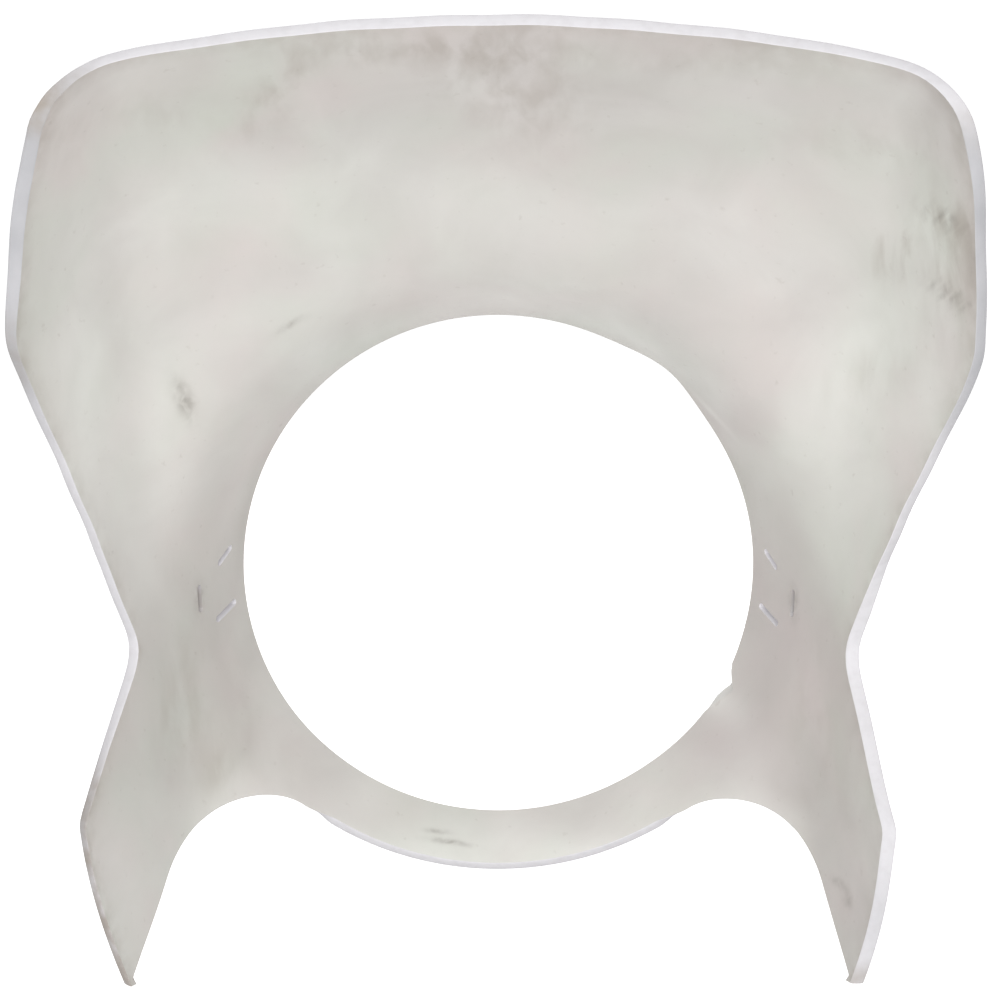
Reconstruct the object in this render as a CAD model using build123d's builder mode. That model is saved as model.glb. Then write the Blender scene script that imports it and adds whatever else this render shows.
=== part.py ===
import os
from math import cos, hypot, radians, sin, sqrt, tan

from build123d import *

# Headlight opening and the tunnel that widens behind it
opening_diameter = 175.0
lip_length = 7.5
tunnel_angle = 25.0
tunnel_blend = 20.0
wall = 4.0

# Face of the cowl. Depths run back from the front of the opening, heights from its centre
face_depth = 28.0
shield_foot = 85.0
shield_angle = 22.0
shield_blend = 8.0
crease_height = 148.0
crease_blend = 12.0
hood_angle = 48.0
crown_radius = 340.0

# Sides of the cowl, which flare outwards towards the rear
leg_half_width = 108.4
leg_height = -60.0
brow_half_width = 127.0
brow_height = 106.0
taper_blend = 18.0
brow_blend = 4.0
shoulder_depth = 24.0
side_angle = 26.0
corner_blend = 14.0

# Trim line of the rear rim in the side view, from the top edge down to the tip of the leg
top_depth = 108.8
top_height = 195.9
top_corner_depth = 135.8
top_corner_height = 171.5
top_corner_radius = 7.0
side_mid_depth = 122.7
side_mid_height = 131.0
side_corner_depth = 116.8
side_corner_height = 94.5
side_corner_radius = 10.0
cheek_depth = 86.2
cheek_height = 41.0
waist_depth = 58.6
waist_height = -16.0
waist_radius = 22.0
leg_corner_depth = 97.6
leg_corner_height = -65.0
leg_corner_radius = 4.0
leg_mid_depth = 93.6
leg_mid_height = -93.0
tip_depth = 81.5
tip_height = -126.0
tip_length = 3.0

# Arch between the lower ring and each leg, seen from behind, and the leg's squared front edge
ring_radius = 102.1
arch_radius = 28.5
arch_inset = 15.3
arch_height = -43.5
foot_spread = 11.9
foot_height = -126.0
leg_front_depth = 46.5
leg_front_height = -79.0
shin_depth = 65.0
shin_height = -98.5

# Slots in each side of the tunnel: a pair running back and one upright behind them
slot_width = 2.2
upper_slot_angle = 31.0
upper_slot_length = 9.6
upper_slot_back = 18.5
upper_slot_height = 6.0
lower_slot_angle = 17.0
lower_slot_length = 14.0
lower_slot_back = 19.0
lower_slot_height = -13.2
rear_slot_length = 9.5
rear_slot_back = 33.8
rear_slot_height = -5.9

# Nick in the lower right of the opening's edge
nick_half_width = 80.7
nick_top = -33.6
nick_bottom = -41.5
nick_foot_half_width = 71.8
nick_foot = -50.3
nick_length = 25.0

# Radial planes and points that carry the surface, and how far it runs past the trim line
plane_step = 5
past_centre = 10
stations = 24
evenness = 0.45
front_margin = 4.0
reach_side = 175.0
reach_top = 228.0
reach_low = 165.0
cut_length = 400.0


def soft_max(a, b, blend):
    """Larger of two depths, with the corner between them rounded."""
    return (a + b + sqrt((a - b) ** 2 + blend**2)) / 2


def soft_min(a, b, blend):
    """Smaller of two depths, with the corner between them rounded."""
    return -soft_max(-a, -b, blend)


def slope(angle):
    return tan(radians(angle))


throat_radius = opening_diameter / 2 - lip_length * slope(tunnel_angle)
wall_across = wall / cos(radians(tunnel_angle))


def front_depth(z):
    """Depth of the cowl's centre line: upright face, leaning shield, then the hood."""
    shield = face_depth + (z - shield_foot) * slope(shield_angle)
    crease = face_depth + (crease_height - shield_foot) * slope(shield_angle)
    hood = crease + (z - crease_height) * slope(hood_angle)
    return soft_max(soft_max(face_depth, shield, shield_blend), hood, crease_blend)


def half_width(z):
    """Half width at the shoulder, growing from the legs up to the brow."""
    taper = (brow_half_width - leg_half_width) / (brow_height - leg_height)
    width = leg_half_width + taper * soft_max(0, z - leg_height, taper_blend)
    return soft_min(width, brow_half_width, brow_blend)


def outer_depth(x, z):
    """Depth of the outer surface: tunnel, crowned face and flared sides, blended."""
    front = front_depth(z)
    face = front + x**2 / (2 * crown_radius)
    side = front + shoulder_depth + (abs(x) - half_width(z)) / slope(side_angle)
    tunnel = (hypot(x, z) - throat_radius - wall_across) / slope(tunnel_angle)
    return soft_min(tunnel, soft_max(face, side, corner_blend), tunnel_blend)


def inner_depth(x, z):
    """Depth of the inner surface, one wall behind the outer one along its normal."""
    step = 0.01
    across = (outer_depth(x + step, z) - outer_depth(x - step, z)) / (2 * step)
    along = (outer_depth(x, z + step) - outer_depth(x, z - step)) / (2 * step)
    return outer_depth(x, z) + wall * sqrt(1 + across**2 + along**2)


def reach(angle):
    """Radius of the surface's outer end at a clock angle, on a rounded box."""
    upright = reach_top if angle > 0 else reach_low
    across = abs(cos(radians(angle))) / reach_side
    along = abs(sin(radians(angle))) / upright
    return (across**3 + along**3) ** (-1 / 3)


# Shares of the way outwards at which each section has its points, closer near the tunnel
steps = [i / (stations - 1) for i in range(stations)]
shares = [evenness * step + (1 - evenness) * step**3 for step in steps]


def meridian(depth, angle, start):
    """Points of one surface along a radial plane, from the tunnel outwards."""
    radii = [start + (reach(angle) - start) * share for share in shares]
    return [(r, -depth(r * cos(radians(angle)), r * sin(radians(angle)))) for r in radii]


with BuildPart() as cowl_shell:
    # Right half of the wall, carried by sections on radial planes round the opening's axis
    for angle in range(-90 - past_centre, 91 + past_centre, plane_step):
        along = (cos(radians(angle)), 0, sin(radians(angle)))
        across = (-sin(radians(angle)), 0, cos(radians(angle)))
        inner_start = throat_radius - front_margin * slope(tunnel_angle)
        outer = meridian(outer_depth, angle, inner_start + wall_across)
        inner = meridian(inner_depth, angle, inner_start)
        with BuildSketch(Plane(origin=(0, 0, 0), x_dir=along, z_dir=across)):
            with BuildLine():
                add(Edge.make_spline(outer, parameters=shares))
                Line(outer[-1], inner[-1])
                add(Edge.make_spline(inner, parameters=shares))
                Line(inner[0], outer[0])
            make_face()
    loft()
    split(bisect_by=Plane.YZ)

    # Rear rim trimmed in the side view: hood, brow, cheek, waist and leg
    top_corner = (-top_corner_depth, top_corner_height)
    side_corner = (-side_corner_depth, side_corner_height)
    waist = (-waist_depth, waist_height)
    leg_corner = (-leg_corner_depth, leg_corner_height)
    leg_tip = (-tip_depth, tip_height)
    with BuildSketch(Plane.YZ) as rim:
        with BuildLine():
            crest_depth = top_depth - (reach_top - top_height) / slope(hood_angle)
            Polyline((front_margin, reach_top), (-crest_depth, reach_top), top_corner)
            ThreePointArc(top_corner, (-side_mid_depth, side_mid_height), side_corner)
            ThreePointArc(side_corner, (-cheek_depth, cheek_height), waist)
            Line(waist, leg_corner)
            ThreePointArc(leg_corner, (-leg_mid_depth, leg_mid_height), leg_tip)
            Polyline(leg_tip, (front_margin, tip_height), (front_margin, reach_top))
        make_face()
        for corner, radius in (
            (top_corner, top_corner_radius),
            (side_corner, side_corner_radius),
            (waist, waist_radius),
            (leg_corner, leg_corner_radius),
        ):
            fillet(rim.vertices().sort_by_distance((*corner, 0))[0], radius)
    extrude(amount=cut_length, both=True, mode=Mode.INTERSECT)

    # Arch between the lower ring and the leg, cut from behind
    arch_root = (leg_half_width - arch_inset, arch_height)
    foot = leg_half_width + foot_spread
    with BuildSketch(Plane.XZ) as arch:
        with BuildLine():
            RadiusArc((0, -ring_radius), arch_root, -ring_radius)
            Polyline(arch_root, (foot, foot_height), (foot, -reach_low), (0, -reach_low), (0, -ring_radius))
        make_face()
        fillet(arch.vertices().sort_by_distance((*arch_root, 0))[0], arch_radius)
    extrude(amount=cut_length, both=True, mode=Mode.SUBTRACT)

    # Front edge of the leg squared off in the side view
    with BuildSketch(Plane.YZ.offset(arch_root[0])):
        with BuildLine():
            front_top = (-leg_front_depth, leg_front_height)
            front_tip = (tip_length - tip_depth, tip_height)
            ThreePointArc(front_top, (-shin_depth, shin_height), front_tip)
            Polyline(front_tip, (front_margin, tip_height), (front_margin, leg_front_height), front_top)
        make_face()
    extrude(amount=cut_length, mode=Mode.SUBTRACT)

    # Straight land of the headlight opening, faced off at the front
    with BuildSketch(Plane.XZ):
        Circle(opening_diameter / 2)
    extrude(amount=cut_length, both=True, mode=Mode.SUBTRACT)
    split(bisect_by=Plane.XZ, keep=Keep.TOP)

    # Slots through the side of the tunnel, drawn on the wall itself
    forward = (-sin(radians(tunnel_angle)), cos(radians(tunnel_angle)), 0)
    outward = (cos(radians(tunnel_angle)), sin(radians(tunnel_angle)), 0)
    with BuildSketch(Plane(origin=(throat_radius, 0, 0), x_dir=forward, z_dir=outward)):
        with Locations((-upper_slot_back, upper_slot_height)):
            SlotOverall(upper_slot_length, slot_width, rotation=upper_slot_angle)
        with Locations((-lower_slot_back, lower_slot_height)):
            SlotOverall(lower_slot_length, slot_width, rotation=lower_slot_angle)
        with Locations((-rear_slot_back, rear_slot_height)):
            SlotOverall(rear_slot_length, slot_width, rotation=90)
    extrude(amount=wall_across * 3, both=True, mode=Mode.SUBTRACT)
    mirror(about=Plane.YZ)

    # Nick in the opening's edge, on the right only
    with BuildSketch(Plane.XZ):
        with BuildLine():
            nick_in = (nick_foot_half_width / 2, nick_bottom)
            Polyline(
                nick_in,
                (nick_half_width, nick_top),
                (nick_half_width, nick_bottom),
                (nick_foot_half_width, nick_foot),
                nick_in,
            )
        make_face()
    extrude(amount=nick_length, mode=Mode.SUBTRACT)

os.makedirs("parts", exist_ok=True)
cowl_shell.part.label = "cowl_shell"
export_step(cowl_shell.part, "parts/cowl_shell.step")
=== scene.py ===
import bmesh
import bpy
import numpy as np
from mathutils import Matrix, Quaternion, Vector


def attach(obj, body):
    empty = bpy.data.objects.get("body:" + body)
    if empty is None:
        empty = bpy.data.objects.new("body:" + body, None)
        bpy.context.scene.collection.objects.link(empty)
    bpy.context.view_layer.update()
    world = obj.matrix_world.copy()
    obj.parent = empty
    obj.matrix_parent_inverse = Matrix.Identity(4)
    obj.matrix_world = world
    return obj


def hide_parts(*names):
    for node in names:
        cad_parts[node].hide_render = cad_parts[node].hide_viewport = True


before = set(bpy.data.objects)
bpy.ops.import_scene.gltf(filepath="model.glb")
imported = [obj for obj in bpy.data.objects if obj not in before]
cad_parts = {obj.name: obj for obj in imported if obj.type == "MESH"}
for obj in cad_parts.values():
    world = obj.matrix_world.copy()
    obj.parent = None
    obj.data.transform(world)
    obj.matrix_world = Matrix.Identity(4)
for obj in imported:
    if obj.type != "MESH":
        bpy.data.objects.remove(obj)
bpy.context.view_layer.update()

# Cowl shell
# One hand-laid glass-fibre moulding, open at the back. Its inside face is the rough side of the
# laminate under a coat of white resin, and its rear rim is sawn off and left bare.

# Sizes in millimetres, the same as the solid's
opening_radius = 87.5
lip_length = 7.5
wall = 4.0
tunnel_angle = np.radians(25.0)
tunnel_slope = np.tan(tunnel_angle)
tunnel_blend = 20.0
face_depth = 28.0
shield_foot = 85.0
shield_slope = np.tan(np.radians(22.0))
shield_blend = 8.0
crease_height = 148.0
crease_blend = 12.0
hood_slope = np.tan(np.radians(48.0))
crown_radius = 340.0
leg_half_width = 108.4
leg_height = -60.0
taper_blend = 18.0
brow_half_width = 127.0
brow_height = 106.0
brow_blend = 4.0
shoulder_depth = 24.0
side_slope = np.tan(np.radians(26.0))
corner_blend = 14.0
throat_radius = opening_radius - lip_length * tunnel_slope
wall_across = wall * np.sqrt(1 + tunnel_slope**2)

# Above this height the moulding's sides stand a little wider than the solid's
hood_fullness = 1.4
fullness_height = 157.0
fullness_blend = 12.0


def soft_max(a, b, blend):
    """Half of the sum of both, plus half of the rounded size of their difference."""
    return (a + b + np.sqrt((a - b) ** 2 + blend**2)) / 2


def soft_min(a, b, blend):
    """The soft maximum with all signs turned."""
    return -soft_max(-a, -b, blend)


def outer_depth(x, z):
    """Depth of the outside face: the soft lesser of the tunnel's cone and of the cowl behind it, which is
    the soft greater of a crowned face and flared sides, both set back by the centre line's depth."""
    shield = face_depth + (z - shield_foot) * shield_slope
    crease = face_depth + (crease_height - shield_foot) * shield_slope
    hood = crease + (z - crease_height) * hood_slope
    front = soft_max(soft_max(face_depth, shield, shield_blend), hood, crease_blend)
    taper = (brow_half_width - leg_half_width) / (brow_height - leg_height)
    half_width = leg_half_width + taper * soft_max(0, z - leg_height, taper_blend)
    fullness = hood_fullness * (1 + np.tanh((z - fullness_height) / fullness_blend)) / 2
    half_width = soft_min(half_width, brow_half_width, brow_blend) + fullness
    side = front + shoulder_depth + (np.abs(x) - half_width) / side_slope
    face = front + x**2 / (2 * crown_radius)
    tunnel = (np.hypot(x, z) - throat_radius - wall_across) / tunnel_slope
    return soft_min(tunnel, soft_max(face, side, corner_blend), tunnel_blend)


def inner_depth(x, z):
    """The outside depth plus one wall times the root of one plus both slopes squared."""
    step = 0.01
    across = (outer_depth(x + step, z) - outer_depth(x - step, z)) / (2 * step)
    along = (outer_depth(x, z + step) - outer_depth(x, z - step)) / (2 * step)
    return outer_depth(x, z) + wall * np.sqrt(1 + across**2 + along**2)


def arc_points(start, middle, end, count=40):
    """Points of the parabola through three points of depth and height, taken at even heights."""
    z = np.linspace(start[1], end[1], count)
    curve = np.polyfit([start[1], middle[1], end[1]], [start[0], middle[0], end[0]], 2)
    return np.stack([np.polyval(curve, z), z], 1)


def averaged(values, width):
    """A running mean under a raised cosine of an odd width."""
    kernel = np.hanning(width)
    return np.convolve(np.pad(values, width // 2, "edge"), kernel / kernel.sum(), "valid")


# Rear trim line in the side view, through points of depth and height from the top edge to the leg's tip
top_edge, hood_corner, top_corner = (109.3, 197.7), (122.6, 184.1), (135.7, 175.2)
brow_middle, brow_corner = (122.7, 131.0), (116.2, 94.5)
cheek_middle, waist = (85.9, 41.0), (58.2, -16.0)
leg_corner, leg_middle, leg_tip = (97.0, -65.0), (93.0, -93.0), (81.0, -125.6)
below_tip = (76.0, -140.0)
above_top = 237.0
trim_line = np.concatenate([
    [(top_edge[0] - (above_top - top_edge[1]) / hood_slope, above_top)],
    arc_points(top_edge, hood_corner, top_corner),
    arc_points(top_corner, brow_middle, brow_corner),
    arc_points(brow_corner, cheek_middle, waist),
    [leg_corner],
    arc_points(leg_corner, leg_middle, leg_tip),
    [below_tip],
])
trim_samples = 3000
trim_height = np.linspace(below_tip[1], above_top, trim_samples)
trim_sharp = np.interp(trim_height, trim_line[::-1, 1], trim_line[::-1, 0])

# A short mean rounds all of it, and wider ones round three corners: height, reach in mm, samples
short_mean = 61
wide_means = ((waist[1], 16, 221), (brow_corner[1], 12, 131), (top_corner[1], 20, 231))
trim_depth = averaged(trim_sharp, short_mean)
for corner_height, reach, width in wide_means:
    nearby = np.exp(-(((trim_height - corner_height) / reach) ** 2))
    trim_depth = trim_depth + nearby * (averaged(trim_sharp, width) - trim_depth)


def find_root(miss, low, high, halvings=40):
    """Halves the bracket again and again towards the place where the miss turns positive."""
    for _ in range(halvings):
        middle = (low + high) / 2
        short = miss(middle) < 0
        low = np.where(short, middle, low)
        high = np.where(short, high, middle)
    return (low + high) / 2


# Lower trim seen from behind: a ring about the opening, a circle for the arch that touches the ring and
# the leg, and the leg's straight front
ring_radius = 102.1
ring_bevel = 1.6
bevel_fade = 0.1
arch_radius = 28.5
arch_root = np.array([93.1, -43.5])
leg_foot = np.array([120.3, -126.0])
leg_run = (leg_foot - arch_root) / np.linalg.norm(leg_foot - arch_root)
leg_side = np.array([leg_run[1], -leg_run[0]])
arch_foot = arch_root + arch_radius * leg_side
foot_along = arch_foot @ leg_run
foot_short = arch_foot @ arch_foot - (ring_radius + arch_radius) ** 2
arch_centre = arch_foot + (np.sqrt(foot_along**2 - foot_short) - foot_along) * leg_run
arch_angle = np.arctan2(arch_centre[1], arch_centre[0])
waist_angle = np.radians(-8.0)
crown_angle = np.arctan2(arch_centre[1] + arch_radius, arch_centre[0])

# Clock angles of the spokes: even steps, with one spoke exactly at each end of both leg roots
rim_spokes, root_spokes, ring_spokes = 340, 60, 150
spoke_runs = (
    (waist_angle, np.pi - waist_angle, rim_spokes),
    (np.pi - waist_angle, np.pi - crown_angle, root_spokes),
    (np.pi - crown_angle, 2 * np.pi + crown_angle, ring_spokes),
    (2 * np.pi + crown_angle, 2 * np.pi + waist_angle, root_spokes),
)
angle = np.concatenate([np.linspace(start, end, count, endpoint=False) for start, end, count in spoke_runs])
first_left = rim_spokes
last_left = first_left + root_spokes
first_right = last_left + ring_spokes
across, upright = np.cos(angle), np.sin(angle)

# The rim is sawn by hand. At the sides the cut slants, between a lower and an upper clock height that
# differ from right to left
side_slant = 1.1
slant_fade = 6
slant_end = np.where(across > 0, 0.82, 0.66)
slant_start = np.where(across > 0, 0, -0.31)
saw_slant = side_slant * np.clip(slant_fade * np.abs(across), 0, 1)
saw_slant *= np.clip(slant_fade * (slant_end - upright), 0, 1)
saw_slant *= np.clip(slant_fade * (upright - slant_start), 0, 1)

# It wanders by a fraction of a millimetre in two waves, and its upper left corner is chipped
wander, wander_fade = 0.22, 4
saw_wander = wander * (2 + np.sin(19 * angle + 1) + np.sin(43 * angle + 2))
saw_wander *= np.clip(wander_fade * upright, 0, 1)
chip_angle, chip_width, chip_depth = np.radians(128.7), 0.09, 0.15
chip = np.exp(-(((angle - chip_angle) / chip_width) ** 2))
saw_wander += chip * (chip_depth + chip_depth * np.sin(90 * angle) + chip_depth * np.sin(151 * angle))
least_radius, greatest_radius = 96.0, 245.0
hair = 1e-9


def edge_radius(depth):
    """Radius at which each spoke ends: where the surface's depth is that of the rear trim, on the arch's
    circle, on the ring, or on the straight line of a leg's root from the waist to the arch's crown."""
    slant = saw_slant if depth is inner_depth else -saw_slant

    def past_rim(r):
        """Depth of the surface less the depth of the slanted cut."""
        sawn_at = np.interp(r * upright, trim_height, trim_depth) - saw_wander
        return depth(r * across, r * upright) - sawn_at - slant

    radius = find_root(past_rim, least_radius, greatest_radius)
    mirrored = np.stack([np.abs(across), upright], 1)
    clock = np.arctan2(mirrored[:, 1], mirrored[:, 0])
    ahead = mirrored @ arch_centre
    reach = np.maximum(ahead**2 - arch_centre @ arch_centre + arch_radius**2, 0)
    below = upright < np.sin(crown_angle) + hair
    bevel = ring_bevel * np.clip((arch_angle - clock) / bevel_fade, 0, 1)
    ring = ring_radius + (bevel if depth is outer_depth else -bevel)
    radius = np.where(below, np.where(clock > arch_angle, ahead - np.sqrt(reach), ring), radius)
    waist_end = radius[0] * np.array([np.cos(waist_angle), np.sin(waist_angle)])
    crown_end = arch_centre + np.array([0, arch_radius])
    line = crown_end - waist_end
    root = waist_end[0] * line[1] - waist_end[1] * line[0]
    root = root / (mirrored[:, 0] * line[1] - mirrored[:, 1] * line[0])
    rooted = (upright < np.sin(waist_angle) - hair) & (upright > np.sin(crown_angle) + hair)
    return np.where(rooted, root, radius)


# The nick broken out of the opening's lower right edge: an upright side down to a corner, then a slant
nick_corner = (80.7, -41.5)
nick_normal = (8.8, -8.9)
nick_top, nick_bottom = np.radians(-22.5), np.radians(-35.1)
nick_reach = nick_corner[0] * nick_normal[0] + nick_corner[1] * nick_normal[1]
nick_reach = nick_reach / (across * nick_normal[0] + upright * nick_normal[1])
nick_radius = np.minimum(nick_corner[0] / np.maximum(across, 0.2), np.abs(nick_reach))
in_nick = (across > 0) & (upright < np.sin(nick_top)) & (upright > np.sin(nick_bottom))
mouth = np.where(in_nick, np.maximum(nick_radius, opening_radius), opening_radius)

# A shallow flat in its upper right
flat_depth, flat_angle, flat_width = 2.6, np.radians(51), 0.16
mouth = mouth + flat_depth * np.exp(-(((angle - flat_angle) / flat_width) ** 2))
evenness = 0.45


def sheet(depth, start, rows):
    """Spokes from the mouth to the edge, their radius spaced by a mix of t and t cubed, at that depth or
    at the front plane where the depth would be less than nought."""
    t = np.linspace(0, 1, rows)
    share = evenness * t + (1 - evenness) * t**3
    r = start[:, None] + (edge_radius(depth) - start)[:, None] * share
    x, z = r * across[:, None], r * upright[:, None]
    return np.stack([x, -np.maximum(depth(x, z), 0), z], -1)


# The leg's front edge is squared off in the side view, from its root down to a narrow tip
shin_line = arc_points((46.5, -79.0), (65.0, -98.5), (78.5, -126.0))
leg_rows = 56
narrowest_leg = 1.2
least_leg, least_shin, greatest_leg = 96.0, 80.0, 160.0


def leg_sheet(depth, root, side, tip_height, slant):
    """Rows from the leg's root to its tip, each a straight mix of the rear trim and the front edge. The
    slant of the cut goes from its first value to its second over the upper quarter."""
    t = np.linspace(0, 1, leg_rows)
    rear_z = root[0, 2] + (tip_height - root[0, 2]) * t
    target = np.interp(rear_z, trim_height, trim_depth) + slant[0]
    target = target + (slant[1] - slant[0]) * np.clip(4 * t, 0, 1)
    rear_x = find_root(lambda x: depth(x, rear_z) - target, least_leg, greatest_leg)
    rear_x[0] = abs(root[0, 0])
    turn = np.linspace(0, 1, 60)[:, None]
    sweep = np.pi / 2 - turn * (np.pi / 2 - np.arctan2(-leg_side[1], -leg_side[0]))
    arch = arch_centre + arch_radius * np.concatenate([np.cos(sweep), np.sin(sweep)], 1)
    path = np.concatenate([arch, [arch[-1] + leg_run * (arch[-1, 1] - tip_height) / -leg_run[1]]])
    run = np.concatenate([[0], np.cumsum(np.linalg.norm(np.diff(path, axis=0), axis=1))])
    front_x = np.interp(t * run[-1], run, path[:, 0])
    front_z = np.interp(t * run[-1], run, path[:, 1])
    shin = np.interp(-front_z, -shin_line[:, 1], shin_line[:, 0])
    squared_x = find_root(lambda x: depth(x, front_z) - shin, least_shin, greatest_leg)
    front_x = np.maximum(front_x, np.where(front_z < shin_line[0, 1], squared_x, front_x))
    front_x = np.minimum(front_x, rear_x - narrowest_leg)
    s = np.linspace(0, 1, len(root))[None, :]
    x = rear_x[:, None] * (1 - s) + front_x[:, None] * s
    z = rear_z[:, None] * (1 - s) + front_z[:, None] * s
    return np.stack([side * x, -depth(x, z), z], -1)[1:]


inner_rows, outer_rows = 64, 40
front_land = 0.3
inner = sheet(inner_depth, mouth, inner_rows)
outer = sheet(outer_depth, np.maximum(mouth, throat_radius + wall_across + front_land), outer_rows)
right_root = np.r_[0, np.arange(len(angle) - 1, first_right - 1, -1)]
left_root = np.arange(first_left, last_left + 1)
left_slant, right_tip, left_tip = 3.0, -122.0, -125.0
right_inner = leg_sheet(inner_depth, inner[right_root, -1], 1, right_tip, (0, 0))
right_outer = leg_sheet(outer_depth, outer[right_root, -1], 1, right_tip, (0, 0))
left_inner = leg_sheet(inner_depth, inner[left_root, -1], -1, left_tip, (side_slant, left_slant))
left_outer = leg_sheet(outer_depth, outer[left_root, -1], -1, left_tip, (-side_slant, -left_slant / 6))

# Vertices: both sheets, then the legs, each with a table of vertex numbers
blocks = [inner, outer, right_inner, right_outer, left_inner, left_outer]
starts = np.cumsum([0] + [b.shape[0] * b.shape[1] for b in blocks])
number = [np.arange(b.shape[0] * b.shape[1]).reshape(b.shape[:2]) + s for b, s in zip(blocks, starts)]
points = [b.reshape(-1, 3) for b in blocks]


def quads(table):
    """One face for each cell of a table of vertex numbers."""
    return np.stack([table[:-1, :-1], table[:-1, 1:], table[1:, 1:], table[1:, :-1]], -1).reshape(-1, 4)


ring_in = np.concatenate([number[0], number[0][:1]])
ring_out = np.concatenate([number[1], number[1][:1]])
lip = np.stack([ring_out[:, 0], ring_in[:, 0]], 1)
faces = [quads(ring_in), quads(ring_out)[:, ::-1], quads(lip)]
leg_loops = []
for leg_inner, leg_outer, root, order in ((2, 3, right_root, -1), (4, 5, left_root, 1)):
    leg_in = np.concatenate([number[0][root, -1][None], number[leg_inner]])
    leg_out = np.concatenate([number[1][root, -1][None], number[leg_outer]])
    faces += [quads(leg_in)[:, ::order], quads(leg_out)[:, ::-order]]
    leg_loops.append([np.r_[leg[:, 0], leg[-1, 1:-1], leg[::-1, -1]] for leg in (leg_in, leg_out)])

# The sawn edge: one loop round the rim, both legs and the ring, with a slightly crowned section
rim_top = np.arange(1, first_left)
ring_low = np.arange(last_left + 1, first_right)
edge_in, edge_out = [
    np.concatenate([number[k][rim_top, -1], leg_loops[1][k], number[k][ring_low, -1], leg_loops[0][k][::-1]])
    for k in (0, 1)
]
all_points = np.concatenate(points)
inside, outside = all_points[edge_in], all_points[edge_out]
middle = (inside + outside) / 2
tangent = np.roll(middle, -1, 0) - np.roll(middle, 1, 0)
outwards = np.cross(tangent, outside - inside)
outwards /= np.linalg.norm(outwards, axis=1, keepdims=True) + hair
crown_height = 0.35
share = np.array([0.06, 0.22, 0.5, 0.78, 0.94])
crown = crown_height * np.array([0.5, 0.85, 1.0, 0.85, 0.5])
strip = inside + share[:, None, None] * (outside - inside) - crown[:, None, None] * outwards
strip_number = np.arange(strip.shape[0] * strip.shape[1]).reshape(strip.shape[:2]) + starts[-1]
strip_table = np.concatenate([edge_in[None], strip_number, edge_out[None]])
strip_table = np.concatenate([strip_table, strip_table[:, :1]], 1)
faces.append(quads(strip_table))
points.append(strip.reshape(-1, 3))

# The moulding is out of true, in millimetres to the right. The hood and the legs lean from a height on,
# the cheeks sit to the left, and soft pushes move the arches, left leg, left shin, right leg and right brow
hood_lean, hood_lean_from, hood_lean_run = 2.95, 100, 90
leg_lean, leg_lean_from, leg_lean_run = -0.6, 20, 146
cheek_lean, cheek_height, cheek_reach = -1.3, 15, 35
cheek_from, cheek_fade = 96, 14
# Each push, its place across and up, and its width and height
soft_pushes = (
    (2.0, 84, -72, 22, 28),
    (-0.45, -84, -72, 22, 28),
    (-2.9, -126, -62, 15, 40),
    (1.75, -106, -108, 12, 26),
    (-1.0, 126, -64, 14, 22),
    (0.37, 152, 105, 14, 38),
)


def lean(points):
    """Adds to x: a lean in proportion to the height past a start, for hood and legs, a bell over height
    for the cheeks, and for each soft push e to the minus square of the distance from its place."""
    x, z = points[..., 0], points[..., 2]
    shift = hood_lean * np.clip((z - hood_lean_from) / hood_lean_run, 0, None)
    shift = shift + leg_lean * np.clip((leg_lean_from - z) / leg_lean_run, 0, None)
    beside = np.clip((np.abs(x) - cheek_from) / cheek_fade, 0, 1)
    shift = shift + cheek_lean * np.exp(-(((z - cheek_height) / cheek_reach) ** 2)) * beside
    for push, at_x, at_z, wide, tall in soft_pushes:
        shift = shift + push * np.exp(-(((x - at_x) / wide) ** 2) - ((z - at_z) / tall) ** 2)
    return points + shift[..., None] * np.array([1.0, 0, 0])


metres = 0.001
shell_mesh = bpy.data.meshes.new("cowl_moulding")
shell_mesh.from_pydata(lean(np.concatenate(points)) * metres, [], np.concatenate(faces))
sawn = np.zeros(sum(map(len, faces)), dtype=np.int32)
sawn[-len(faces[-1]):] = 1
shell_mesh.polygons.foreach_set("material_index", sawn)
closed_shell = bmesh.new()
closed_shell.from_mesh(shell_mesh)
bmesh.ops.recalc_face_normals(closed_shell, faces=closed_shell.faces)
closed_shell.to_mesh(shell_mesh)
closed_shell.free()
cowl = bpy.data.objects.new("cowl_moulding", shell_mesh)
bpy.context.scene.collection.objects.link(cowl)

# Three slots are cut through each side of the tunnel: two that run back and an upright one behind them.
# Each has its length, its place back and up along the wall, and its tilt in degrees
slot_width = 2.2
slot_sizes = ((9.6, 18.5, 6.0, 31.0), (14.0, 19.0, -13.2, 17.0), (9.5, 33.8, -5.9, 90.0))
cut_inwards, cut_outwards = 12, 14
forward = np.array([-np.sin(tunnel_angle), np.cos(tunnel_angle), 0])
outward = np.array([np.cos(tunnel_angle), np.sin(tunnel_angle), 0])
upward = np.array([0, 0, 1.0])
turn = np.linspace(0, 2 * np.pi, 25)[:-1]
cutter_points, cutter_faces = [], []
for side in (1, -1):
    for length, back, height, tilt in slot_sizes:
        tilt = np.radians(tilt)
        along = np.sign(np.cos(turn)) * (length - slot_width) / 2 + slot_width / 2 * np.cos(turn)
        up = slot_width / 2 * np.sin(turn)
        ahead = along * np.cos(tilt) - up * np.sin(tilt) - back
        above = along * np.sin(tilt) + up * np.cos(tilt) + height
        outline = ahead[:, None] * forward + above[:, None] * upward + throat_radius * np.array([1.0, 0, 0])
        prism = np.concatenate([outline - cut_inwards * outward, outline + cut_outwards * outward])
        near = sum(map(len, cutter_points)) + np.arange(len(turn))
        far = near + len(turn)
        walls = np.stack([near, np.roll(near, -1), np.roll(far, -1), far], 1)
        cutter_points.append(prism * np.array([side, 1, 1]))
        cutter_faces += [face[::side].tolist() for face in (*walls, near[::-1], far)]
cutter_mesh = bpy.data.meshes.new("slot_cutters")
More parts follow.
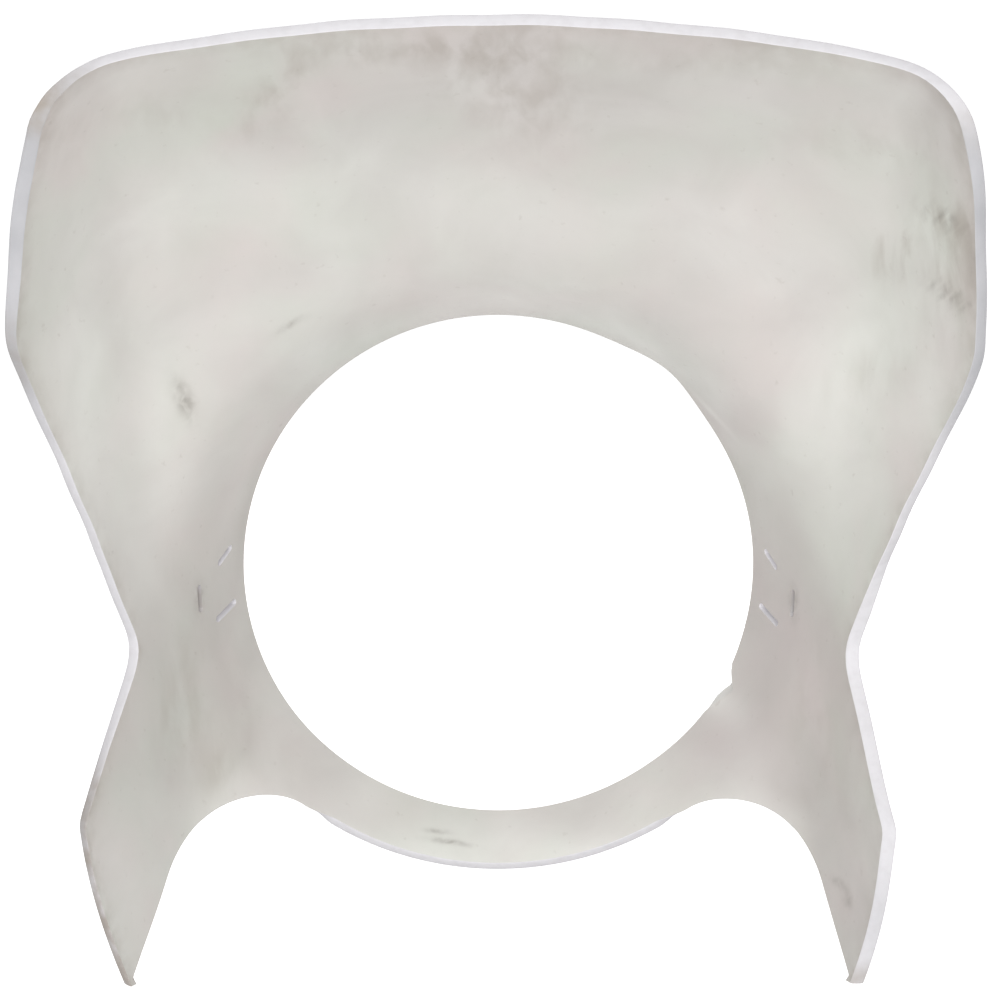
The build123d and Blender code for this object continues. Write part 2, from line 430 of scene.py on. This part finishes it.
cutter_mesh.from_pydata(lean(np.concatenate(cutter_points)) * metres, [], cutter_faces)
cutter_mesh.polygons.foreach_set("material_index", np.ones(len(cutter_faces), dtype=np.int32))
cutter = bpy.data.objects.new("slot_cutters", cutter_mesh)
bpy.context.scene.collection.objects.link(cutter)
slotting = cowl.modifiers.new("slots", "BOOLEAN")
slotting.operation, slotting.solver, slotting.object = "DIFFERENCE", "EXACT", cutter
cut_mesh = bpy.data.meshes.new_from_object(cowl.evaluated_get(bpy.context.evaluated_depsgraph_get()))
cowl.modifiers.clear()
cowl.data = cut_mesh
bpy.data.objects.remove(cutter)
bpy.data.meshes.remove(shell_mesh)
shell_mesh = cut_mesh
shell_mesh.name = "cowl_moulding"
crisp_corner = np.radians(24)
shell_mesh.shade_smooth()
shell_mesh.set_sharp_from_angle(angle=crisp_corner)

# Where the paint lies thick or thin, where light and shade are painted on, and where it is dirty, as values
# on the points of the finished mesh. They are placed on the shell as it was before it leaned
place = np.empty(len(shell_mesh.vertices) * 3, dtype=np.float32)
shell_mesh.vertices.foreach_get("co", place)
place = place.reshape(-1, 3) / metres
true = place
for _ in range(4):
    true = place - (lean(true) - true)
true_x, true_z = true[:, 0], true[:, 2]
from_axis, from_middle = np.hypot(true_x, true_z), np.abs(true_x)
on_inside = (-place[:, 1] > outer_depth(true_x, true_z) + wall / 2).astype(np.float32)
on_left_leg = (true_x < 0) & (true_z < -20)
from_rim = np.interp(true_z, trim_height, trim_depth) + place[:, 1] + left_slant * on_left_leg
from_rim = np.maximum(from_rim, 0)


def spots(rows, sides=(1,)):
    """The sum of soft spots. Each is its strength times e to the minus square of the distance from its
    place across and up, in its own widths and heights, turned by its degrees."""
    total = 0 * true_x
    for strength, x, z, wide, tall, turned in rows:
        for side in sides:
            turn = np.radians(side * turned)
            dx, dz = true_x - side * x, true_z - z
            along, up = dx * np.cos(turn) + dz * np.sin(turn), dz * np.cos(turn) - dx * np.sin(turn)
            total = total + strength * np.exp(-((along / wide) ** 2) - (up / tall) ** 2)
    return total


def ramp(value, low, high):
    """Nought below the low end, one above the high end, straight between."""
    return np.clip((value - low) / (high - low), 0, 1)


# Thickness of the coat mixed with painted light and shade: a plain level, then spots on both sides, painted
# lighter on the cheeks, brows and ring and painted shade down the tunnel's lower sides, and single ones from
# the hood down to the legs. Rows are strength, place across and up, width, height and turn
plain_coat, inside_coat, outside_coat = 0.55, 0.866, 0.85
both_sides = (1, -1)
coat_and_painted_light = plain_coat + spots((
    (0.30, 128, 50, 24, 46, -18), (0.16, 108, 74, 22, 24, 0), (0.34, 132, 106, 12, 48, 0),
    (0.25, 52, -80, 16, 10, 0), (-0.55, 103, -38, 13, 30, 0), (-0.18, 98, 4, 9, 26, 0),
), both_sides)
# Like those above, these single spots are partly patchy paint and partly painted light and shade
coat_and_painted_light += spots((
    # Hood
    (-0.20, 66, 192, 30, 8, 0), (-0.20, 76, 190, 14, 7, 0), (0.12, -108, 164, 16, 14, 0),
    (0.20, -132, 162, 10, 14, 0), (0.28, 110, 160, 14, 12, 0),
    # Shield
    (0.10, 0, 128, 95, 20, 0), (0.32, 0, 100, 30, 9, 0), (0.10, -35, 142, 14, 8, 0),
    # Brows
    (0.18, 128, 84, 12, 20, 0), (0.20, 128, 132, 10, 8, 0), (0.20, 139, 131, 7, 6, 0),
    (0.32, 126, 77, 11, 18, 0), (-0.15, 130, 116, 12, 8, 0), (-0.12, 110, 108, 9, 14, 0),
    (-0.14, -110, 86, 14, 12, 0),
    # Cheeks and tunnel
    (0.14, -63, 78, 10, 10, 0), (0.18, -115, 36, 18, 16, 0), (0.40, 95, 48, 8, 16, 0),
    (0.25, 80, 68, 7, 7, 0), (0.60, 72, 56, 10, 0.8, -45), (-0.12, 110, 0, 7, 28, 0),
    (0.15, 95, -20, 6, 10, 0),
    # Ring and arches
    (0.60, 0, -96, 62, 9, 0), (0.30, -40, -80, 9, 7, 0), (0.60, 74, -46, 7, 5, 0),
    (0.20, 80, -50, 7, 9, 0), (0.12, 65, -65, 8, 8, 0), (-0.12, -72, -64, 10, 8, 0),
    (-0.26, -93, -54, 10, 13, 0), (-0.22, -90, -52, 12, 14, 0), (-0.65, -97, -53, 12, 11, 0),
    (-0.22, 97, -64, 8, 8, 0), (-0.15, 96, -66, 7, 7, 0),
    # Legs
    (0.14, -118, -86, 10, 24, 0), (-0.40, 118, -92, 15, 42, 0),
))

# Painted light and shade: it is lighter round the top of the opening but for the very edge, which is painted
# in shade, and painted darker on the hood, down the tunnel's sides below a slanting line, more on the right,
# and along the sides of the rim
mouth_painted_light, mouth_reach = 0.42, 13
lip_painted_shade, lip_reach = 0.30, 3.5
hood_painted_shade, tunnel_painted_shade, right_tunnel_painted_shade = 0.14, 0.20, 0.10
rim_side_painted_shade, rim_reach = 0.32, 4
line_point, line_normal = (90, 42), np.array([50, 31]) / np.hypot(50, 31)
coat_and_painted_light += mouth_painted_light * np.exp(-(((from_axis - opening_radius) / mouth_reach) ** 2)) * ramp(true_z, 30, 75)
coat_and_painted_light -= lip_painted_shade * np.exp(-(((from_axis - opening_radius) / lip_reach) ** 2)) * ramp(true_z, -30, 10)
coat_and_painted_light -= hood_painted_shade * ramp(true_z, 150, 165)
below_line = (line_point[0] - from_middle) * line_normal[0] + (line_point[1] - true_z) * line_normal[1]
tunnel_side = ramp(below_line, -3, 6) * ramp(-true_z, -52, -30) * ramp(true_z, -75, -35)
tunnel_side *= ramp(from_middle, 78, 92)
coat_and_painted_light -= (tunnel_painted_shade + right_tunnel_painted_shade * ramp(true_x, -1, 1)) * tunnel_side
coat_and_painted_light -= rim_side_painted_shade * np.exp(-from_rim / rim_reach) * ramp(true_z, 50, 80) * ramp(from_middle, 110, 130)

# Brown grime: drips under the top edge, stains at the corners, the right brow and the arches, and a
# squarish mark left on the right brow
grime = spots((
    (0.50, 0, 178, 20, 15, 0), (0.30, 13, 163, 15, 13, 0), (0.40, -14, 188, 34, 6, 0),
    (0.35, -50, 186, 30, 5, 0), (0.60, -71, 171, 6, 17, -40), (0.20, -108, 166, 16, 8, 0),
    (0.25, 112, 157, 18, 8, 0), (0.30, 70, 184, 40, 6, 0), (0.75, 142, 122, 9, 22, 0),
    (0.50, 137, 135, 10, 6, 0), (0.30, 122, 80, 16, 8, 40), (0.55, -104, -38, 7, 20, 0),
    (0.50, -93, -62, 8, 9, 0), (0.40, 106, -40, 6, 22, 0),
))
grime += spots(((0.30, 136, 160, 9, 9, 0),), both_sides)
square_mark, mark_x, mark_z = 0.6, 125.6, 120
mark_across, mark_up = ramp(-np.abs(true_x - mark_x), -6.6, -5.4), ramp(-np.abs(true_z - mark_z), -8.4, -7.0)
grime += square_mark * mark_across * mark_up

# Dark scuffs on the left cheek, ring, right leg and left of the opening, dark lines on the right brow
# painted as the shade of the creases in a folded patch, and painted shade in the rear slots
scuff_and_shade = spots((
    (1.0, -103, 66, 2.6, 7.0, 18), (0.8, -16, -94.6, 7.5, 0.7, -9), (0.7, -20, -91.8, 4.0, 0.6, -8),
    (0.7, 114.5, -90.5, 2.2, 1.6, 0), (0.6, 117.4, -94.5, 1.4, 3.0, 0), (0.6, -68, 90, 5.0, 1.0, 30),
    (0.9, 137, 136, 6.0, 1.6, -25), (0.9, 147, 128, 1.6, 8.0, 0), (0.9, 141, 111, 7.0, 1.4, -30),
))
scuff_and_shade += spots(((0.7, 100.3, -6, 1.3, 5.5, 0),), both_sides)

# The sawn edge is brown with handling on the left leg, both tips and three corners, and dull along the
# brows. The rearmost slots are made both brown and dull as painted shade. Paint next to the edge is darker,
# partly rubbed and partly painted shade
rear_slot_shade = spots(((1.0, 101, -5.9, 4, 6, 0),), both_sides)
soiled_leg = 1.2
soiled_edge_and_slot_shade = rear_slot_shade + soiled_leg * ramp(-true_z, 50, 66) * ramp(-true_x, 80, 100)
soiled_edge_and_slot_shade += ramp(-true_z, 112, 124)
soiled_edge_and_slot_shade += spots((
    (1.0, -138, 172, 14, 10, 0), (0.6, 151, 168, 14, 8, 0), (0.7, -151, 92, 12, 10, 0),
    (1.0, -130, -64, 10, 14, 0),
))
# Beside the rim the paint is darker, partly rubbed and dirty and partly painted shade along the edge
rim_darkening, rim_darkening_soiled, rim_darkening_reach = 0.35, 0.25, 3
rim_dirt_and_shade = np.exp(-from_rim / rim_darkening_reach) * (rim_darkening + rim_darkening_soiled * np.clip(soiled_edge_and_slot_shade, 0, 1))
bright_corner = ramp(true_x, 0, 1) * ramp(true_z, 158, 176)
brow_edge = ramp(from_middle, 105, 125) * ramp(true_z, 55, 90) * ramp(-true_z, -184, -172)
dull_edge_and_slot_shade = rear_slot_shade + brow_edge * (1 - bright_corner)
dull_edge_and_slot_shade += spots(((0.3, 126, -95, 8, 16, 0), (0.6, -130, -64, 10, 14, 0)))

# A pink cast down the tunnel's right side, and a green one down its left
rosy = spots(((0.8, 92, -14, 13, 50, 0), (0.6, 76, -58, 16, 16, 0), (0.5, 78, 54, 12, 14, 0)))
sage = spots(((0.8, -112, -44, 18, 48, 0), (0.4, -98, 0, 12, 30, 0)))
point_values = {
    "coat_and_painted_light": np.where(on_inside > 0.5, inside_coat * coat_and_painted_light, outside_coat),
    "inside": on_inside,
    "grime": grime * on_inside,
    "scuff_and_shade": scuff_and_shade * on_inside,
    "rosy": rosy * on_inside,
    "sage": sage * on_inside,
    "rim_dirt_and_shade": rim_dirt_and_shade * on_inside,
    "soiled_edge_and_slot_shade": soiled_edge_and_slot_shade,
    "dull_edge_and_slot_shade": dull_edge_and_slot_shade,
}
for name, value in point_values.items():
    layer = shell_mesh.attributes.new(name, "FLOAT", "POINT")
    layer.data.foreach_set("value", np.clip(value, 0, 1).astype(np.float32))

# White paint on laminate: patchy coats with faint pink and green in them, painted light and shade, brown
# grime, and a slightly wavy hand-laid face
laminate = bpy.data.materials.new("white_laminate")
laminate.use_nodes = True
nodes, links = laminate.node_tree.nodes, laminate.node_tree.links
shader = nodes["Principled BSDF"]


def cloud(scale, detail, distortion=0.0, stretch=(1, 1, 1)):
    """Blender's noise on the cowl's own coordinates, in cells per metre, with finer layers of detail."""
    spot = nodes.new("ShaderNodeTexCoord")
    mapping = nodes.new("ShaderNodeMapping")
    mapping.inputs["Scale"].default_value = stretch
    noise = nodes.new("ShaderNodeTexNoise")
    noise.inputs["Scale"].default_value = scale
    noise.inputs["Detail"].default_value = detail
    noise.inputs["Distortion"].default_value = distortion
    links.new(spot.outputs["Object"], mapping.inputs["Vector"])
    links.new(mapping.outputs["Vector"], noise.inputs["Vector"])
    return noise.outputs["Fac"]


def point_value(name):
    """A value that the mesh carries on its points."""
    reader = nodes.new("ShaderNodeAttribute")
    reader.attribute_name = name
    return reader.outputs["Fac"]


def spread(value, low, high, to_low=0.0, to_high=1.0):
    """A range stretched in a straight line onto another and held at its ends."""
    stretch = nodes.new("ShaderNodeMapRange")
    for key, end in (("From Min", low), ("From Max", high), ("To Min", to_low), ("To Max", to_high)):
        stretch.inputs[key].default_value = end
    links.new(value, stretch.inputs["Value"])
    return stretch.outputs["Result"]


def combine(operation, first, second):
    """Two values joined by one arithmetic step."""
    step = nodes.new("ShaderNodeMath")
    step.operation = operation
    for socket, value in zip(step.inputs, (first, second)):
        if isinstance(value, (int, float)):
            socket.default_value = value
        else:
            links.new(value, socket)
    return step.outputs["Value"]


def lay_over(factor, first, second):
    """The second colour laid over the first by a factor."""
    mix = nodes.new("ShaderNodeMix")
    mix.data_type = "RGBA"
    links.new(factor, mix.inputs["Factor"])
    for socket, colour in ((mix.inputs["A"], first), (mix.inputs["B"], second)):
        if isinstance(colour, tuple):
            socket.default_value = (*colour, 1)
        else:
            links.new(colour, socket)
    return mix.outputs["Result"]


def weathered_and_shaded(colour, layers):
    """Each layer's tint laid in turn over the colour, by its point value times its stretched noise."""
    for name, noise, noise_range, cover, tint in layers:
        amount = combine("MULTIPLY", point_value(name), spread(cloud(*noise), *noise_range, *cover))
        colour = lay_over(amount, colour, tint)
    return colour


coat_dark_end, coat_light_end = (0.535, 0.502, 0.482), (0.825, 0.820, 0.785)
pink_cast, green_cast = (0.70, 0.625, 0.60), (0.64, 0.675, 0.59)
rose_cast, sage_cast = (0.64, 0.57, 0.565), (0.57, 0.60, 0.545)
grime_and_shade_brown, scuff_and_shade_grey = (0.33, 0.285, 0.235), (0.20, 0.175, 0.15)
unevenness = spread(point_value("inside"), 0, 1, 0.3, 1)
patchiness = combine("MULTIPLY", spread(cloud(26, 5, 0.6), 0.3, 0.7, -0.17, 0.17), unevenness)
painted = lay_over(combine("ADD", point_value("coat_and_painted_light"), patchiness), coat_dark_end, coat_light_end)
casts = lay_over(spread(cloud(15, 3, 0.4), 0.40, 0.60), pink_cast, green_cast)
tinted = combine("MULTIPLY", spread(cloud(21, 4), 0.35, 0.75, 0.12, 0.55), unevenness)
painted = lay_over(tinted, painted, casts)

# Layers from the paint up: where each lies, its noise, the noise's range, the cover over that range, and
# its tint
upright_drips = (1.5, 1, 0.5)
painted = weathered_and_shaded(painted, (
    ("rosy", (40, 4), (0.3, 0.7), (0.35, 0.9), rose_cast),
    ("sage", (33, 4), (0.3, 0.7), (0.2, 0.7), sage_cast),
    ("grime", (85, 8, 0.25, upright_drips), (0.40, 0.66), (0.0, 0.6), grime_and_shade_brown),
    ("inside", (330, 4), (0.66, 0.78), (0.0, 0.18), grime_and_shade_brown),
    # The scuff and rim layers lay painted shade as well as dirt
    ("scuff_and_shade", (210, 7, 0.5), (0.32, 0.62), (0.1, 0.62), scuff_and_shade_grey),
    ("rim_dirt_and_shade", (160, 5), (0.32, 0.66), (0.1, 0.8), grime_and_shade_brown),
))
links.new(painted, shader.inputs["Base Color"])
gloss = spread(cloud(60, 4), 0.3, 0.7, 0.42, 0.58)
links.new(gloss, shader.inputs["Roughness"])
shader.inputs["Specular IOR Level"].default_value = 0.35
waves = nodes.new("ShaderNodeBump")
waves.inputs["Strength"].default_value = 0.35
waves.inputs["Distance"].default_value = 0.0012
broad_waves, fine_grain = cloud(45, 3), combine("MULTIPLY", cloud(420, 3), 0.10)
links.new(combine("ADD", broad_waves, fine_grain), waves.inputs["Height"])
links.new(waves.outputs["Normal"], shader.inputs["Normal"])
shell_mesh.materials.append(laminate)

# Sawn edge: the bare cut through the laminate, chalky lilac white with fibre ends, brown where it has
# been handled, and painted darker in the rear slots as shade
sawn_edge = bpy.data.materials.new("sawn_edge")
sawn_edge.use_nodes = True
nodes, links = sawn_edge.node_tree.nodes, sawn_edge.node_tree.links
shader = nodes["Principled BSDF"]
chalk, fibre = (0.80, 0.785, 0.81), (0.71, 0.69, 0.71)
greyed, handled_and_shade_brown = (0.52, 0.52, 0.54), (0.36, 0.30, 0.235)
cut = lay_over(spread(cloud(260, 5), 0.45, 0.75, 0.0, 0.6), chalk, fibre)
cut = weathered_and_shaded(cut, (
    ("dull_edge_and_slot_shade", (90, 4), (0.3, 0.7), (0.75, 1.0), greyed),
    ("soiled_edge_and_slot_shade", (120, 6), (0.35, 0.6), (0.25, 0.7), handled_and_shade_brown),
))
links.new(cut, shader.inputs["Base Color"])
shader.inputs["Roughness"].default_value = 0.8
shader.inputs["Specular IOR Level"].default_value = 0.2
grain = nodes.new("ShaderNodeBump")
grain.inputs["Strength"].default_value = 0.25
grain.inputs["Distance"].default_value = 0.0002
links.new(cloud(700, 4), grain.inputs["Height"])
links.new(grain.outputs["Normal"], shader.inputs["Normal"])
shell_mesh.materials.append(sawn_edge)
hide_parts("cowl_shell")
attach(cowl, "root")

# Floor
# A wide sheet of pale studio paper, laid well below the cowl so that it touches nothing. It tops itself
# up to white where it is seen directly, and keeps the shadows that fall on it.
floor_reach, floor_height = 20.0, -0.45
corners = floor_reach * np.array([(-1, -1), (1, -1), (1, 1), (-1, 1)])
floor_mesh = bpy.data.meshes.new("studio_paper")
floor_mesh.from_pydata([(x, y, floor_height) for x, y in corners], [], [(0, 1, 2, 3)])
floor = bpy.data.objects.new("studio_paper", floor_mesh)
bpy.context.scene.collection.objects.link(floor)


def seen_directly(tree):
    """The greatest of three: one for a ray from the camera, a gloss or a glass, and nought for the light
    that falls on the cowl."""
    path = tree.nodes.new("ShaderNodeLightPath")
    seen = path.outputs["Is Camera Ray"]
    for ray in ("Is Glossy Ray", "Is Transmission Ray"):
        either = tree.nodes.new("ShaderNodeMath")
        either.operation = "MAXIMUM"
        tree.links.new(seen, either.inputs[0])
        tree.links.new(path.outputs[ray], either.inputs[1])
        seen = either.outputs[0]
    return seen


paper = bpy.data.materials.new("studio_paper")
paper.use_nodes = True
paper_shader = paper.node_tree.nodes["Principled BSDF"]
paper_shader.inputs["Base Color"].default_value = (0.86, 0.86, 0.86, 1)
paper_shader.inputs["Roughness"].default_value = 0.9
paper_shader.inputs["Specular IOR Level"].default_value = 0.0
paper_shader.inputs["Emission Color"].default_value = (1, 1, 1, 1)
top_up = paper.node_tree.nodes.new("ShaderNodeMath")
top_up.operation = "MULTIPLY"
top_up.inputs[1].default_value = 0.75
paper.node_tree.links.new(seen_directly(paper.node_tree), top_up.inputs[0])
paper.node_tree.links.new(top_up.outputs[0], paper_shader.inputs["Emission Strength"])
floor_mesh.materials.append(paper)

# Light
# An even pale sky, white where it is seen directly, and three large soft lamps that hang behind the cowl,
# above it, and in front of it for its outside face.
sky = bpy.data.worlds.new("studio")
sky.use_nodes = True
sky_light = sky.node_tree.nodes["Background"]
sky_light.inputs["Color"].default_value = (1, 1, 1, 1)
sky_light.inputs["Strength"].default_value = 0.397
sky_seen = sky.node_tree.nodes.new("ShaderNodeBackground")
sky_mix = sky.node_tree.nodes.new("ShaderNodeMixShader")
sky.node_tree.links.new(seen_directly(sky.node_tree), sky_mix.inputs["Fac"])
sky.node_tree.links.new(sky_light.outputs[0], sky_mix.inputs[1])
sky.node_tree.links.new(sky_seen.outputs[0], sky_mix.inputs[2])
sky.node_tree.links.new(sky_mix.outputs[0], sky.node_tree.nodes["World Output"].inputs["Surface"])
bpy.context.scene.world = sky

# Each lamp's name, place and size in metres, and power in watts
lamps = (
    ("key", (0, -2.0, 0.5), 1.2, 20.7),
    ("top", (0, -1.5, 1.6), 1.4, 7.5),
    ("front", (0, 2.2, 0.9), 1.6, 16.0),
)
lamp_aim = Vector((0, -0.06, 0.03))
for name, stand, size, power in lamps:
    lamp_data = bpy.data.lights.new(name, "AREA")
    lamp_data.size, lamp_data.energy = size, power
    lamp = bpy.data.objects.new(name, lamp_data)
    lamp.location = stand
    lamp.rotation_euler = (lamp_aim - Vector(stand)).to_track_quat("-Z", "Y").to_euler()
    bpy.context.scene.collection.objects.link(lamp)

# Camera
# It stands 1.3 m behind the cowl, a little above the opening's axis, and points at the centre of the
# opening. Its shift puts the cowl where the photograph has it.
distance, rise, yaw, roll = 1.3, np.radians(13.19), np.radians(0.758), np.radians(-0.267)
film_width, lens_ratio = 36, 3.768
camera_data = bpy.data.cameras.new("camera")
camera_data.sensor_width = film_width
camera_data.lens = film_width * lens_ratio
camera_data.shift_x = 0.00143
camera_data.shift_y = 0.06369
camera = bpy.data.objects.new("camera", camera_data)
bearing = Vector((np.sin(yaw) * np.cos(rise), -np.cos(yaw) * np.cos(rise), np.sin(rise)))
camera.location = distance * bearing
camera.rotation_mode = "QUATERNION"
camera.rotation_quaternion = (-camera.location).to_track_quat("-Z", "Y") @ Quaternion((0, 0, 1), -roll)
bpy.context.scene.collection.objects.link(camera)
bpy.context.scene.camera = camera

bpy.context.scene.view_settings.view_transform = "Standard"
